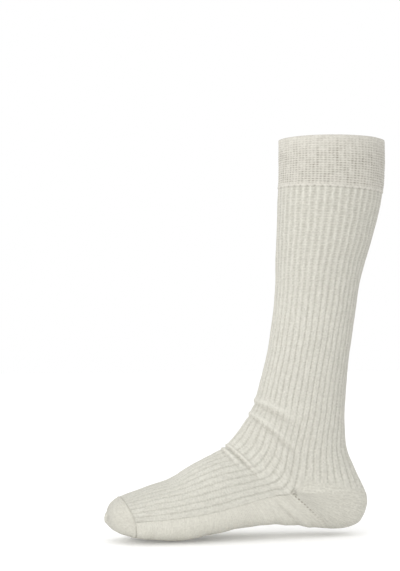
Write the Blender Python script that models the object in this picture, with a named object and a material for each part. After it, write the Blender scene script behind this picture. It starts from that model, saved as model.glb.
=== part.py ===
# Knee sock in wide rib, in its worn form, open at the mouth and hollow down to the toe.
# Units are metres and +Z is up. The foot points along -X and its inner side faces -Y.
# The origin is the middle of the mouth, where the leg goes in.

import bpy
import bmesh
import numpy as np

for item in list(bpy.data.objects):
    bpy.data.objects.remove(item, do_unlink=True)

# Driving sizes
LEG_LENGTH = 0.258         # upper ankle fold up to the mouth
ANKLE_HEIGHT = 0.1334      # lowest point of the sole up to the upper ankle fold
FOOT_LENGTH = 0.2625       # back of the heel to the tip of the toe
HEEL_SETBACK = 0.034       # back of the heel behind the middle of the mouth
CALF_DEPTH = 0.106         # front to back at the mouth
CALF_WIDTH = 0.096         # side to side at the mouth
BALL_WIDTH = 0.0905        # side to side at the ball of the foot
RIB_WALL = 0.0019          # ribbed knit, furrow to inside
PLAIN_WALL = 0.0016        # plain knit of heel, sole and toe
CUFF_WALL = 0.0026         # doubled welt
CUFF_STEP = 0.0003         # welt stands this proud of the ribs
CUFF_ROUNDING = 0.0010     # turned edge at the mouth
RIB_DEPTH = 0.0010         # furrow below the rib's crest
SEAM_GAP = 0.0003          # between one knitted panel and the next
CORNER_GAP = 0.0006        # at the point of the heel corner
HEEL_TOP_RISE = 0.60       # heel panel above the corner's level, in section rows
RIBS_OVER_FRONT = 21       # and as many over the back of the leg

SOCK_HEIGHT = ANKLE_HEIGHT + LEG_LENGTH

# Sections of the leg, from the mouth down to the top of the ankle.
# A section has a front point, two side points and a back point.
# x columns are shares of CALF_DEPTH, behind the mouth's middle.
# z columns are shares of LEG_LENGTH above the ankle fold.
# near and far are shares of half CALF_WIDTH.
# front_curve and back_curve say how square each half is, 2 being an ellipse.
LEG_SECTIONS = (
    # front_x front_z side_x side_z back_x back_z near far front_curve back_curve
    (-0.500, 1.000, 0.000, 1.000, 0.500, 1.000, 1.000, 1.000, 2.00, 2.00),
    (-0.498, 0.905, 0.000, 0.899, 0.502, 0.895, 1.000, 1.000, 2.00, 2.00),
    (-0.508, 0.810, -0.015, 0.800, 0.481, 0.791, 0.996, 0.996, 2.00, 2.00),
    (-0.519, 0.705, -0.041, 0.698, 0.428, 0.690, 0.965, 0.965, 2.00, 2.00),
    (-0.528, 0.601, -0.080, 0.597, 0.363, 0.593, 0.927, 0.927, 2.00, 2.00),
    (-0.536, 0.504, -0.123, 0.504, 0.289, 0.504, 0.885, 0.885, 2.00, 2.00),
    (-0.545, 0.411, -0.142, 0.411, 0.238, 0.411, 0.844, 0.844, 2.00, 2.00),
    (-0.566, 0.318, -0.170, 0.318, 0.204, 0.314, 0.806, 0.806, 2.00, 2.00),
    (-0.600, 0.225, -0.208, 0.225, 0.170, 0.217, 0.775, 0.775, 2.00, 2.05),
    (-0.643, 0.143, -0.245, 0.132, 0.138, 0.120, 0.750, 0.750, 2.00, 2.05),
    (-0.694, 0.066, -0.288, 0.035, 0.115, 0.019, 0.729, 0.729, 2.00, 2.10),
)

# Sections of the ankle, from the upper fold down to the corner of the heel.
# x columns are shares of FOOT_LENGTH, forward of the heel's back.
# z columns are shares of ANKLE_HEIGHT above the lowest point of the sole.
# near, far and crest are shares of half BALL_WIDTH, crest being the ridge's shift.
ANKLE_SECTIONS = (
    # front_x front_z side_x side_z back_x back_z near far front_curve back_curve crest
    (0.428, 1.000, 0.265, 0.865, 0.085, 0.843, 0.747, 0.747, 2.05, 2.10, 0.00),
    (0.452, 0.895, 0.290, 0.655, 0.080, 0.655, 0.714, 0.714, 2.10, 2.20, 0.02),
    (0.488, 0.798, 0.307, 0.483, 0.043, 0.475, 0.685, 0.685, 2.10, 2.30, 0.04),
    (0.520, 0.723, 0.322, 0.340, 0.002, 0.295, 0.674, 0.685, 2.15, 2.50, 0.07),
)

# The back of the heel pocket, between the corner's level and the gore line.
HEEL_BACKS = (
    # back_x back_z back_curve
    (0.001, 0.187, 2.50),
    (0.029, 0.088, 2.50),
    (0.084, 0.045, 2.50),
)

# Sections of the foot, from the gore line to the tip of the toe.
# The first one shares its front and sides with the last one of the ankle.
FOOT_SECTIONS = (
    # front_x front_z side_x side_z sole_x sole_z near far front_curve back_curve crest
    (0.520, 0.723, 0.322, 0.340, 0.152, 0.043, 0.674, 0.685, 2.15, 2.60, 0.07),
    (0.547, 0.665, 0.381, 0.318, 0.255, 0.067, 0.718, 0.751, 2.15, 2.60, 0.09),
    (0.579, 0.630, 0.453, 0.295, 0.370, 0.090, 0.796, 0.840, 2.10, 2.60, 0.11),
    (0.625, 0.588, 0.537, 0.258, 0.488, 0.075, 0.895, 0.928, 2.10, 2.60, 0.13),
    (0.682, 0.525, 0.629, 0.220, 0.610, 0.033, 0.972, 0.994, 2.10, 2.60, 0.13),
    (0.758, 0.438, 0.731, 0.193, 0.724, 0.001, 1.017, 0.983, 2.15, 2.70, 0.13),
    (0.846, 0.385, 0.827, 0.175, 0.823, 0.004, 0.972, 0.873, 2.20, 2.70, 0.13),
    (0.945, 0.318, 0.910, 0.164, 0.899, 0.028, 0.851, 0.696, 2.30, 2.70, 0.15),
    (0.971, 0.292, 0.956, 0.165, 0.947, 0.054, 0.685, 0.519, 2.30, 2.50, 0.15),
    (0.989, 0.254, 0.984, 0.165, 0.979, 0.090, 0.486, 0.298, 2.20, 2.30, 0.13),
    (0.997, 0.209, 0.998, 0.166, 0.997, 0.130, 0.232, 0.033, 2.00, 2.00, 0.11),
)

# Section rows are numbered from the mouth, so a place on the knit is a row and a share.
# The share runs from the near side line, 0, over the front or back, to the far one, 1.
CUFF_ROW = 2
CORNER_ROW = len(LEG_SECTIONS) + len(ANKLE_SECTIONS) - 1
TOE_ROW = CORNER_ROW + 7
TIP_ROW = CORNER_ROW + len(FOOT_SECTIONS) - 1
HEEL_ROWS = len(HEEL_BACKS) + 1

# Folds across the front of the ankle, where the ribs bunch.
FOLDS = (
    # row_at_front row_at_side fades_from height width
    (11.00, 11.00, 0.25, 0.0016, 0.13),
    (11.22, 11.38, 0.25, -0.0014, 0.13),
    (11.92, 11.92, 0.35, 0.0014, 0.12),
    (12.10, 12.10, 0.30, -0.0010, 0.12),
    (14.85, 14.88, 0.45, 0.0014, 0.12),
    (15.06, 15.06, 0.40, -0.0014, 0.12),
)

# How deep the furrows are along the sock: rows, and shares of RIB_DEPTH.
RELIEF_ROWS = (2.0, 4.0, 7.0, 14.0, 17.0, 21.0)
RELIEF_SHARES = (0.45, 0.60, 1.00, 1.00, 0.80, 0.65)

# Rows at which a solid has a line of corners. Those in the rib follow the folds,
# and the sole has the instep's lines, so that their edges run side by side.
LEG_LINES = (2, 3.4, 5, 6.6, 8.2, 9.6, 10.5, 10.8, 11, 11.25, 11.6, 11.92, 12.1, 12.7, 13.3, 13.7, 14)
INSTEP_LINES = (14, 14.5, 14.85, 15.06, 15.3, 16.2, 17.2, 18.2, 19.2, 20.1, 21)
SQUEEZED_FROM = 12.7       # rows below this are squeezed where the heel panel rises
CUFF_LINES = (2, 1.3, 0.6, 0.1, 0)
HEEL_LINES = 6
TOE_LINES = (21, 21.8, 22.6, 23.3, 24)

# Grid on which the form is worked out before it is read at any place
LINES_PER_ROW = 8
SHARES_PER_HALF = 126
CURVE_STEPS = 180
TURN_REACH = 0.9           # rows over which the ribs' turn at the ankle is rounded


def section_rows():
    """Front rows as fx fz sx sz near far curve crest, back rows as bx bz curve, in metres."""
    front = []
    back = []
    for fx, fz, sx, sz, bx, bz, near, far, front_curve, back_curve in LEG_SECTIONS:
        drop = (1 - np.array((fz, sz, bz))) * -LEG_LENGTH
        half = CALF_WIDTH / 2
        front.append((fx * CALF_DEPTH, drop[0], sx * CALF_DEPTH, drop[1],
                      near * half, far * half, front_curve, 0.0))
        back.append((bx * CALF_DEPTH, drop[2], back_curve))
    for fx, fz, sx, sz, bx, bz, near, far, front_curve, back_curve, crest in ANKLE_SECTIONS + FOOT_SECTIONS:
        along = HEEL_SETBACK - np.array((fx, sx, bx)) * FOOT_LENGTH
        level = np.array((fz, sz, bz)) * ANKLE_HEIGHT - SOCK_HEIGHT
        half = BALL_WIDTH / 2
        front.append((along[0], level[0], along[1], level[1],
                      near * half, far * half, front_curve, -crest * half))
        back.append((along[2], level[2], back_curve))
    front.pop(CORNER_ROW + 1)
    for bx, bz, back_curve in reversed(HEEL_BACKS):
        back.insert(CORNER_ROW + 1, (HEEL_SETBACK - bx * FOOT_LENGTH,
                                     bz * ANKLE_HEIGHT - SOCK_HEIGHT, back_curve))
    return np.array(front), np.array(back)


def cubic_weights(part):
    """Weights of four neighbours for a smooth curve through the middle two."""
    return ((-part + 2 * part ** 2 - part ** 3) / 2,
            (2 - 5 * part ** 2 + 3 * part ** 3) / 2,
            (part + 4 * part ** 2 - 3 * part ** 3) / 2,
            (part ** 3 - part ** 2) / 2)


def read_rows(rows, at):
    """The values of a table of rows at a row number with a fraction."""
    first = min(int(at), len(rows) - 2)
    ends = np.vstack((2 * rows[0] - rows[1], rows, 2 * rows[-1] - rows[-2]))
    return sum(w * ends[first + k] for k, w in enumerate(cubic_weights(at - first)))


def half_section(peak_x, peak_z, side_x, side_z, near, far, curve, crest):
    """Points from the near side over the peak to the far side, at even shares of the length."""
    turn = np.linspace(0, np.pi, CURVE_STEPS + 1)
    across = np.abs(np.cos(turn)) ** (2 / curve)
    rise = np.abs(np.sin(turn)) ** (2 / curve)
    y = np.where(turn < np.pi / 2, -near, far) * across + crest * rise
    points = np.stack((side_x + (peak_x - side_x) * rise, y, side_z + (peak_z - side_z) * rise), 1)
    steps = np.linalg.norm(np.diff(points, axis=0), axis=1)
    length = np.concatenate(((0,), np.cumsum(steps)))
    wanted = np.linspace(0, length[-1], SHARES_PER_HALF + 1)
    return np.stack([np.interp(wanted, length, points[:, k]) for k in range(3)], 1)


def front_grid(front):
    """The front half, rows by shares, with the ribs' turn at the ankle rounded."""
    rows = np.arange(TIP_ROW * LINES_PER_ROW + 1) / LINES_PER_ROW
    sharp = np.array([half_section(*read_rows(front, at)) for at in rows])
    shares = np.linspace(0, 1, SHARES_PER_HALF + 1)
    near_turn = np.exp(-((rows - CORNER_ROW - 0.5) / 2.5) ** 4)
    soft = np.zeros_like(sharp)
    taps = np.linspace(-1, 1, 7)
    for column, share in enumerate(shares):
        reach = TURN_REACH * np.sin(2 * np.pi * min(share, 1 - share)) * near_turn
        for tap in taps:
            for axis in range(3):
                soft[:, column, axis] += np.interp(rows + tap * reach, rows, sharp[:, column, axis])
    return soft / len(taps)


def back_grid(front, back):
    """The back half: leg, heel pocket and sole. The sides wait at the corner for the heel."""
    lines = []
    for line in range((TIP_ROW + HEEL_ROWS) * LINES_PER_ROW + 1):
        at = line / LINES_PER_ROW
        side_at = at if at < CORNER_ROW else max(CORNER_ROW, at - HEEL_ROWS)
        side_x, side_z, near, far = read_rows(front, side_at)[2:6]
        back_x, back_z, curve = read_rows(back, at)
        lines.append(half_section(back_x, back_z, side_x, side_z, near, far, curve, 0.0))
    return np.array(lines)


def read_grid(grid, rows, shares):
    """Points of a grid at any rows and shares."""
    down = np.clip(rows * LINES_PER_ROW, 0, len(grid) - 1)
    over = shares * SHARES_PER_HALF
    first_down = np.minimum(down.astype(int), len(grid) - 2)
    first_over = np.minimum(over.astype(int), SHARES_PER_HALF - 1)
    points = 0
    for a, weight_down in enumerate(cubic_weights(down - first_down)):
        for b, weight_over in enumerate(cubic_weights(over - first_over)):
            line = np.clip(first_down + a - 1, 0, len(grid) - 1)
            column = np.clip(first_over + b - 1, 0, SHARES_PER_HALF)
            points = points + (weight_down * weight_over)[..., None] * grid[line, column]
    return points


def outward(grid, rows, shares, facing):
    """Unit normals of a grid, pointing out of the sock."""
    step = 0.02
    rows = np.clip(rows, step, (len(grid) - 1) / LINES_PER_ROW - step)
    shares = np.clip(shares, step, 1 - step)
    over = read_grid(grid, rows, shares + step / 2) - read_grid(grid, rows, shares - step / 2)
    down = read_grid(grid, rows + step / 2, shares) - read_grid(grid, rows - step / 2, shares)
    normal = facing * np.cross(over, down)
    return normal / np.linalg.norm(normal, axis=-1, keepdims=True)


def fold_height(rows, shares):
    """Height of the ankle's folds over the plain form of the front."""
    toward_front = 1 - np.abs(2 * shares - 1)
    height = np.zeros_like(toward_front)
    for front_row, side_row, fades_from, peak, width in FOLDS:
        middle = side_row + (front_row - side_row) * toward_front
        strength = np.clip((toward_front - fades_from) / (1 - fades_from) * 2, 0, 1)
        height += peak * strength * np.exp(-((rows - middle) / width) ** 2)
    return height


FRONT_ROWS, BACK_ROWS = section_rows()
FRONT = front_grid(FRONT_ROWS)
BACK = back_grid(FRONT_ROWS, BACK_ROWS)


def even_sides(normal, beside, shares):
    """On the side lines the two halves share one direction, so that their edges lie flat together."""
    shared = normal + beside
    shared /= np.linalg.norm(shared, axis=-1, keepdims=True)
    on_side = (shares == 0) | (shares == 1)
    return np.where(on_side[..., None], shared, normal)


def front_points(rows, shares, height):
    """Points of the front half, a height above its form."""
    back_rows = np.where(rows >= CORNER_ROW, rows + HEEL_ROWS, rows)
    beside = outward(BACK, back_rows, shares, -1)
    normal = even_sides(outward(FRONT, rows, shares, 1), beside, shares)
    return read_grid(FRONT, rows, shares) + normal * height[..., None]


def back_points(rows, shares, height):
    """Points of the back half, a height above its form."""
    front_rows = np.where(rows > CORNER_ROW, np.maximum(rows - HEEL_ROWS, CORNER_ROW), rows)
    beside = outward(FRONT, front_rows, shares, 1)
    normal = even_sides(outward(BACK, rows, shares, -1), beside, shares)
    return read_grid(BACK, rows, shares) + normal * height[..., None]


def mesh_lines(rows, columns):
    """Rows and shares as two arrays of the same shape."""
    return np.meshgrid(np.array(rows, float), np.linspace(0, 1, columns + 1), indexing="ij")


def join_sides(front, back):
    """Gives the back half the front half's points along both side lines."""
    count = len(back)
    back[:, 0] = front[:count, 0]
    back[:, -1] = front[:count, -1]


def pull_in(edge, neighbour, gap):
    """Moves an edge line of points towards its neighbour by a gap."""
    way = neighbour - edge
    return edge + gap * way / np.linalg.norm(way, axis=-1, keepdims=True)


def heel_top(shares):
    """Row at which the ribs of the back end: they stop higher beside the corner."""
    toward_back = 1 - np.abs(2 * shares - 1)
    start = np.clip(toward_back / 0.16, 0, 1)
    return CORNER_ROW - HEEL_TOP_RISE * (1 - toward_back) * start * (2 - start) / 0.84


def rib_height(rows, columns_per_rib, shares):
    """Furrow on every rib's border, crest between the borders, and smooth with one column a rib."""
    if columns_per_rib == 1:
        return np.zeros(rows.shape)
    phase = np.round(shares * RIBS_OVER_FRONT * columns_per_rib).astype(int) % columns_per_rib
    relief = np.interp(rows, RELIEF_ROWS, RELIEF_SHARES)
    return np.where(phase == 0, -RIB_DEPTH * relief, 0.0)


def add_sheet(mesh, points):
    """Faces over a grid of points. Returns its corners, line by line."""
    lines = [[mesh.verts.new(point) for point in line] for line in points]
    for upper, lower in zip(lines, lines[1:]):
        for k in range(len(upper) - 1):
            mesh.faces.new((upper[k], upper[k + 1], lower[k + 1], lower[k]))
    return lines


def stitch(mesh, outer, inner):
    """Closes the wall's edge between an outer line and an inner one with fewer corners."""
    per_step = (len(outer) - 1) // (len(inner) - 1)
    for k in range(len(inner) - 1):
        run = list(outer[k * per_step:(k + 1) * per_step + 1])
        mesh.faces.new(run + [inner[k + 1], inner[k]])


def column(lines, k):
    """One column of corners out of the lines of a sheet."""
    return [line[k] for line in lines]


def finish(mesh, name, colour, roughness):
    """Welds the sheets to one closed body and makes it an object with its own material."""
    bmesh.ops.remove_doubles(mesh, verts=mesh.verts, dist=0.00001)
    bmesh.ops.dissolve_degenerate(mesh, edges=mesh.edges, dist=0.00001)
    bmesh.ops.recalc_face_normals(mesh, faces=mesh.faces)
    data = bpy.data.meshes.new(name)
    mesh.to_mesh(data)
    mesh.free()
    piece = bpy.data.objects.new(name, data)
    bpy.context.scene.collection.objects.link(piece)
    material = bpy.data.materials.new(name + "_knit")
    material.use_nodes = True
    shader = material.node_tree.nodes["Principled BSDF"]
    shader.inputs["Base Color"].default_value = (*colour, 1.0)
    shader.inputs["Roughness"].default_value = roughness
    shader.inputs["Metallic"].default_value = 0.0
    data.materials.append(material)
    return piece


def make_cuff():
    """Doubled welt round the mouth, with a turned upper edge."""
    mesh = bmesh.new()
    walls = []
    for columns, skip, height, turned in ((42, 1, CUFF_STEP, -CUFF_ROUNDING),
                                          (21, 2, CUFF_STEP - CUFF_WALL, CUFF_ROUNDING / 2)):
        rows, shares = mesh_lines(CUFF_LINES[::skip], columns)
        heights = np.full(rows.shape, height)
        heights[-1] += turned
        front = front_points(rows, shares, heights)
        back = back_points(rows, shares, heights)
        join_sides(front, back)
        for points in (front, back):
            points[0] = pull_in(points[0], points[1], SEAM_GAP / 2)
        walls.append((add_sheet(mesh, front), add_sheet(mesh, back)))
    for outer, inner in zip(*walls):
        stitch(mesh, outer[0], inner[0])
        stitch(mesh, outer[-1], inner[-1])
    return finish(mesh, "cuff", (0.629, 0.604, 0.546), 0.95)


def make_leg():
    """Ribbed tube from the welt to the heel, with the instep's tongue on to the toe."""
    mesh = bmesh.new()
    sheets = []
    tube_rows = len(LEG_LINES)
    squeeze_span = CORNER_ROW - SQUEEZED_FROM
    for per_rib, skip, wall in ((3, 1, 0.0), (1, 2, RIB_WALL + RIB_DEPTH)):
        columns = RIBS_OVER_FRONT * per_rib
        front_lines = LEG_LINES[::skip] + INSTEP_LINES[1:]
        rows, shares = mesh_lines(front_lines, columns)
        ribs = rib_height(rows, per_rib, shares)
        front = front_points(rows, shares, ribs + fold_height(rows, shares) - wall)
        rows, shares = mesh_lines(LEG_LINES[::skip], columns)
        lower = np.clip((rows - SQUEEZED_FROM) / squeeze_span, 0, 1)
        rows = np.minimum(rows, SQUEEZED_FROM) + lower * (heel_top(shares) - SQUEEZED_FROM)
        back = back_points(rows, shares, rib_height(rows, per_rib, shares) - wall)
        join_sides(front, back)
        front[0] = pull_in(front[0], front[1], SEAM_GAP / 2)
        back[0] = pull_in(back[0], back[1], SEAM_GAP / 2)
        back[-1, 1:-1] = pull_in(back[-1, 1:-1], back[-2, 1:-1], SEAM_GAP / 2)
        front[-1] = pull_in(front[-1], front[-2], SEAM_GAP / 2)
        tongue = len(back)
        front[tongue:, 0] = pull_in(front[tongue:, 0], front[tongue:, 1], SEAM_GAP / 2)
        front[tongue:, -1] = pull_in(front[tongue:, -1], front[tongue:, -2], SEAM_GAP / 2)
        sheets.append((add_sheet(mesh, front), add_sheet(mesh, back), tongue - 1))
    (outer_front, outer_back, outer_corner), (inner_front, inner_back, inner_corner) = sheets
    stitch(mesh, outer_front[0], inner_front[0])
    stitch(mesh, outer_back[0], inner_back[0])
    stitch(mesh, outer_back[-1], inner_back[-1])
    stitch(mesh, outer_front[-1], inner_front[-1])
    for side in (0, -1):
        stitch(mesh, column(outer_front[outer_corner:], side), column(inner_front[inner_corner:], side))
    return finish(mesh, "leg", (0.665, 0.651, 0.578), 0.95)


def make_heel():
    """Plain pocket round the heel, between the end of the ribs and the gore line."""
    mesh = bmesh.new()
    sheets = []
    gore = CORNER_ROW + HEEL_ROWS
    for columns, lines, wall in ((42, HEEL_LINES, 0.0), (21, HEEL_LINES // 2, PLAIN_WALL)):
        drop, shares = mesh_lines(np.linspace(0, 1, lines + 1), columns)
        rows = heel_top(shares) + drop * (gore - heel_top(shares))
        points = back_points(rows, shares, np.full(rows.shape, -wall))
        middle = lines // 2
        for side, inward in ((0, 1), (-1, -2)):
            points[:, side] = pull_in(points[middle, side], points[middle, inward], CORNER_GAP)
        points[0, 1:-1] = pull_in(points[0, 1:-1], points[1, 1:-1], SEAM_GAP / 2)
        points[-1, 1:-1] = pull_in(points[-1, 1:-1], points[-2, 1:-1], SEAM_GAP / 2)
        sheets.append(add_sheet(mesh, points))
    outer, inner = sheets
    stitch(mesh, outer[0], inner[0])
    stitch(mesh, outer[-1], inner[-1])
    return finish(mesh, "heel", (0.611, 0.604, 0.527), 0.95)


def make_sole():
    """Plain underside from the gore line to the toe, between the edges of the ribs."""
    mesh = bmesh.new()
    sheets = []
    for columns, wall in ((42, 0.0), (21, PLAIN_WALL)):
        rows, shares = mesh_lines(INSTEP_LINES, columns)
        points = back_points(rows + HEEL_ROWS, shares, np.full(rows.shape, -wall))
        points[0] = pull_in(points[0], points[1], SEAM_GAP / 2)
        points[-1] = pull_in(points[-1], points[-2], SEAM_GAP / 2)
        points[:, 0] = pull_in(points[:, 0], points[:, 1], SEAM_GAP / 2)
        points[:, -1] = pull_in(points[:, -1], points[:, -2], SEAM_GAP / 2)
        sheets.append(add_sheet(mesh, points))
    outer, inner = sheets
    stitch(mesh, outer[0], inner[0])
    stitch(mesh, outer[-1], inner[-1])
    for side in (0, -1):
        stitch(mesh, column(outer, side), column(inner, side))
    return finish(mesh, "sole", (0.680, 0.665, 0.584), 0.95)


def make_toe():
    """Plain cap in front of the toe seam, closed at the tip."""
    mesh = bmesh.new()
    tips = []
    for columns, lines, wall in ((42, TOE_LINES, 0.0), (21, TOE_LINES[::2], PLAIN_WALL)):
        rows, shares = mesh_lines(lines, columns)
        heights = np.full(rows.shape, -wall)
        top = front_points(rows, shares, heights)
        under = back_points(rows + HEEL_ROWS, shares, heights)
        join_sides(top, under)
        for points in (top, under):
            points[0] = pull_in(points[0], points[1], SEAM_GAP / 2)
        tips.append((add_sheet(mesh, top), add_sheet(mesh, under)))
    for outer, inner in zip(*tips):
        stitch(mesh, outer[0], inner[0])
    for top, under in tips:
        mesh.faces.new(top[-1] + under[-1][-2:0:-1])
    return finish(mesh, "toe", (0.687, 0.672, 0.578), 0.95)


make_cuff()
make_leg()
make_heel()
make_sole()
make_toe()
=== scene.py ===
from math import pi, radians

import bmesh
import bpy
import numpy as np
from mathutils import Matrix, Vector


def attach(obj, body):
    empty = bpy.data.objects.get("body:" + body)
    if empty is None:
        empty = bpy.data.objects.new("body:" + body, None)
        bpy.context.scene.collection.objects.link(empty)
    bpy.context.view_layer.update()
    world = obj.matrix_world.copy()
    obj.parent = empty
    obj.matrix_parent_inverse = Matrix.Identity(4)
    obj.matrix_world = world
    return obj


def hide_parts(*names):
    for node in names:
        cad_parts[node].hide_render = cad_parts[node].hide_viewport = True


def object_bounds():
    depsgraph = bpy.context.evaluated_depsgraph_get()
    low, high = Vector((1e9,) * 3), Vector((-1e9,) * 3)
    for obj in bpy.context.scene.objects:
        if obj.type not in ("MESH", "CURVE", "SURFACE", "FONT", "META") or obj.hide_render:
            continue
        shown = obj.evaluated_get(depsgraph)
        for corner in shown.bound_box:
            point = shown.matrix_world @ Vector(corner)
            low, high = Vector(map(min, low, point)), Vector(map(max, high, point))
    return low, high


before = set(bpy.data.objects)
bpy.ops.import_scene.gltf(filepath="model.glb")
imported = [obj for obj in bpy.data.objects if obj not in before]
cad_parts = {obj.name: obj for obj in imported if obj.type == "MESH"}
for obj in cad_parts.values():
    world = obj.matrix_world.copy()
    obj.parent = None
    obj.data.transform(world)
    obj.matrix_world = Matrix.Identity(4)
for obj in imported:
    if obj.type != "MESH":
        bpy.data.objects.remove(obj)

cad_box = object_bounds()

# Cuff
# The welt is knitted double, with elastic laid in behind a fine waffle of tuck stitches.
# Its upper edge is the turn of the tube, and its lower edge is linked on to the ribs.
LEG_LENGTH = 0.258
ANKLE_HEIGHT = 0.1334
FOOT_LENGTH = 0.2625
HEEL_SETBACK = 0.034
CALF_DEPTH = 0.106
CALF_WIDTH = 0.096
BALL_WIDTH = 0.0905
SOCK_HEIGHT = ANKLE_HEIGHT + LEG_LENGTH
RIBS_OVER_FRONT = 21

# Sections down the leg: x as shares of the mouth's depth, z of the leg's length,
# near and far of half the mouth's width.
LEG_SECTIONS = (
    # front_x front_z side_x side_z back_x back_z near far front_curve back_curve
    (-0.500, 1.000, 0.000, 1.000, 0.500, 1.000, 1.000, 1.000, 2.00, 2.00),
    (-0.498, 0.905, 0.000, 0.899, 0.502, 0.895, 1.000, 1.000, 2.00, 2.00),
    (-0.508, 0.810, -0.015, 0.800, 0.481, 0.791, 0.996, 0.996, 2.00, 2.00),
    (-0.519, 0.705, -0.041, 0.698, 0.428, 0.690, 0.965, 0.965, 2.00, 2.00),
    (-0.528, 0.601, -0.080, 0.597, 0.363, 0.593, 0.927, 0.927, 2.00, 2.00),
    (-0.536, 0.504, -0.123, 0.504, 0.289, 0.504, 0.885, 0.885, 2.00, 2.00),
    (-0.545, 0.411, -0.142, 0.411, 0.238, 0.411, 0.844, 0.844, 2.00, 2.00),
    (-0.566, 0.318, -0.170, 0.318, 0.204, 0.314, 0.806, 0.806, 2.00, 2.00),
    (-0.600, 0.225, -0.208, 0.225, 0.170, 0.217, 0.775, 0.775, 2.00, 2.05),
    (-0.643, 0.143, -0.245, 0.132, 0.138, 0.120, 0.750, 0.750, 2.00, 2.05),
    (-0.694, 0.066, -0.288, 0.035, 0.115, 0.019, 0.729, 0.729, 2.00, 2.10),
)

# Sections of the ankle and the foot: x as shares of the foot's length forward of the heel,
# z of the ankle's height above the sole, near, far and crest of half the ball's width.
ANKLE_SECTIONS = (
    # front_x front_z side_x side_z back_x back_z near far front_curve back_curve crest
    (0.428, 1.000, 0.265, 0.865, 0.085, 0.843, 0.747, 0.747, 2.05, 2.10, 0.00),
    (0.452, 0.895, 0.290, 0.655, 0.080, 0.655, 0.714, 0.714, 2.10, 2.20, 0.02),
    (0.488, 0.798, 0.307, 0.483, 0.043, 0.475, 0.685, 0.685, 2.10, 2.30, 0.04),
    (0.520, 0.723, 0.322, 0.340, 0.002, 0.295, 0.674, 0.685, 2.15, 2.50, 0.07),
)
HEEL_BACKS = (
    # back_x back_z back_curve
    (0.001, 0.187, 2.50),
    (0.029, 0.088, 2.50),
    (0.084, 0.045, 2.50),
)
FOOT_SECTIONS = (
    # front_x front_z side_x side_z sole_x sole_z near far front_curve back_curve crest
    (0.520, 0.723, 0.322, 0.340, 0.152, 0.043, 0.674, 0.685, 2.15, 2.60, 0.07),
    (0.547, 0.665, 0.381, 0.318, 0.255, 0.067, 0.718, 0.751, 2.15, 2.60, 0.09),
    (0.579, 0.630, 0.453, 0.295, 0.370, 0.090, 0.796, 0.840, 2.10, 2.60, 0.11),
    (0.625, 0.588, 0.537, 0.258, 0.488, 0.075, 0.895, 0.928, 2.10, 2.60, 0.13),
    (0.682, 0.525, 0.629, 0.220, 0.610, 0.033, 0.972, 0.994, 2.10, 2.60, 0.13),
    (0.758, 0.438, 0.731, 0.193, 0.724, 0.001, 1.017, 0.983, 2.15, 2.70, 0.13),
    (0.846, 0.385, 0.827, 0.175, 0.823, 0.004, 0.972, 0.873, 2.20, 2.70, 0.13),
    (0.945, 0.318, 0.910, 0.164, 0.899, 0.028, 0.851, 0.696, 2.30, 2.70, 0.15),
    (0.971, 0.292, 0.956, 0.165, 0.947, 0.054, 0.685, 0.519, 2.30, 2.50, 0.15),
    (0.989, 0.254, 0.984, 0.165, 0.979, 0.090, 0.486, 0.298, 2.20, 2.30, 0.13),
    (0.997, 0.209, 0.998, 0.166, 0.997, 0.130, 0.232, 0.033, 2.00, 2.00, 0.11),
)
CUFF_ROW = 2
CORNER_ROW = len(LEG_SECTIONS) + len(ANKLE_SECTIONS) - 1
TOE_ROW = CORNER_ROW + 7
TIP_ROW = CORNER_ROW + len(FOOT_SECTIONS) - 1
HEEL_ROWS = len(HEEL_BACKS) + 1
LINES_PER_ROW = 8
SHARES_PER_HALF = 126
CURVE_STEPS = 180
TURN_REACH = 0.9


def section_rows():
    """Front rows as fx fz sx sz near far curve crest, back rows as bx bz curve."""
    front = []
    back = []
    for fx, fz, sx, sz, bx, bz, near, far, front_curve, back_curve in LEG_SECTIONS:
        drop = (1 - np.array((fz, sz, bz))) * -LEG_LENGTH
        half = CALF_WIDTH / 2
        front.append((fx * CALF_DEPTH, drop[0], sx * CALF_DEPTH, drop[1],
                      near * half, far * half, front_curve, 0.0))
        back.append((bx * CALF_DEPTH, drop[2], back_curve))
    for fx, fz, sx, sz, bx, bz, near, far, front_curve, back_curve, crest in ANKLE_SECTIONS + FOOT_SECTIONS:
        along = HEEL_SETBACK - np.array((fx, sx, bx)) * FOOT_LENGTH
        level = np.array((fz, sz, bz)) * ANKLE_HEIGHT - SOCK_HEIGHT
        half = BALL_WIDTH / 2
        front.append((along[0], level[0], along[1], level[1],
                      near * half, far * half, front_curve, -crest * half))
        back.append((along[2], level[2], back_curve))
    front.pop(CORNER_ROW + 1)
    for bx, bz, back_curve in reversed(HEEL_BACKS):
        back.insert(CORNER_ROW + 1, (HEEL_SETBACK - bx * FOOT_LENGTH,
                                     bz * ANKLE_HEIGHT - SOCK_HEIGHT, back_curve))
    return np.array(front), np.array(back)


def cubic_weights(part):
    """Weights of four neighbours for a smooth curve through the middle two."""
    return ((-part + 2 * part ** 2 - part ** 3) / 2,
            (2 - 5 * part ** 2 + 3 * part ** 3) / 2,
            (part + 4 * part ** 2 - 3 * part ** 3) / 2,
            (part ** 3 - part ** 2) / 2)


def read_rows(rows, at):
    """The values of a table of rows at a row number with a fraction."""
    first = min(int(at), len(rows) - 2)
    ends = np.vstack((2 * rows[0] - rows[1], rows, 2 * rows[-1] - rows[-2]))
    return sum(w * ends[first + k] for k, w in enumerate(cubic_weights(at - first)))


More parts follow.
